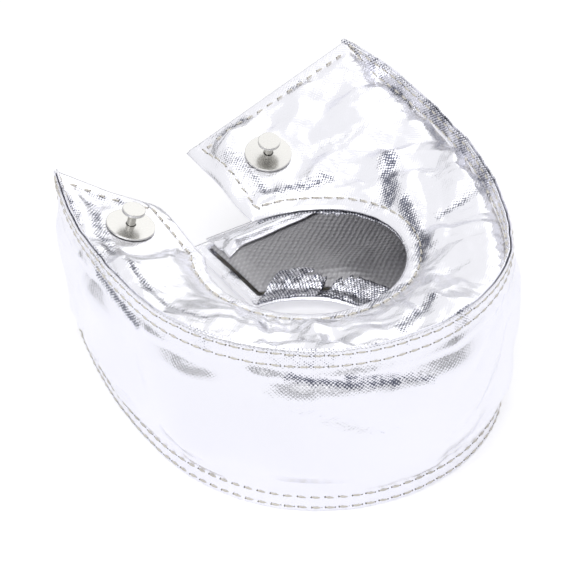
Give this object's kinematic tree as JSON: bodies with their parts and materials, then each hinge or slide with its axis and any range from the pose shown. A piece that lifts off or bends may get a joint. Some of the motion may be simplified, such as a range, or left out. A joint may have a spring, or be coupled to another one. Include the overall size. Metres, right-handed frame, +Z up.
{
  "type": "turbine housing heat blanket",
  "caption": "Horseshoe-shaped padded heat blanket for a turbine housing: aluminised cloth outside, woven lining inside, round openings, an open mouth and headed lacing anchors.",
  "frame": {"origin": "under the middle of the bounding box, on the surface the blanket stands on", "axes": "+Z up through the round openings, +Y out of the open mouth"},
  "size_m": [0.1788, 0.1908, 0.082],
  "materials": {
    "aluminised_cloth": "bright foil bonded to glass cloth, softly crinkled",
    "glass_felt": "needled glass felt",
    "lining_cloth": "grey woven glass or silica cloth",
    "stainless_steel": "bright stainless steel"
  },
  "bodies": {
    "root": {"top_outer_skin": "aluminised_cloth", "top_insulation": "glass_felt", "top_lining": "lining_cloth", "top_left_anchor_washer": "stainless_steel", "top_left_anchor_plate": "stainless_steel", "top_left_anchor_pin": "stainless_steel", "top_right_anchor_washer": "stainless_steel", "top_right_anchor_plate": "stainless_steel", "top_right_anchor_pin": "stainless_steel", "bottom_outer_skin": "aluminised_cloth", "bottom_insulation": "glass_felt", "bottom_lining": "lining_cloth", "side_outer_skin": "aluminised_cloth", "side_insulation": "glass_felt", "side_lining": "lining_cloth"}
  },
  "joints": []
}
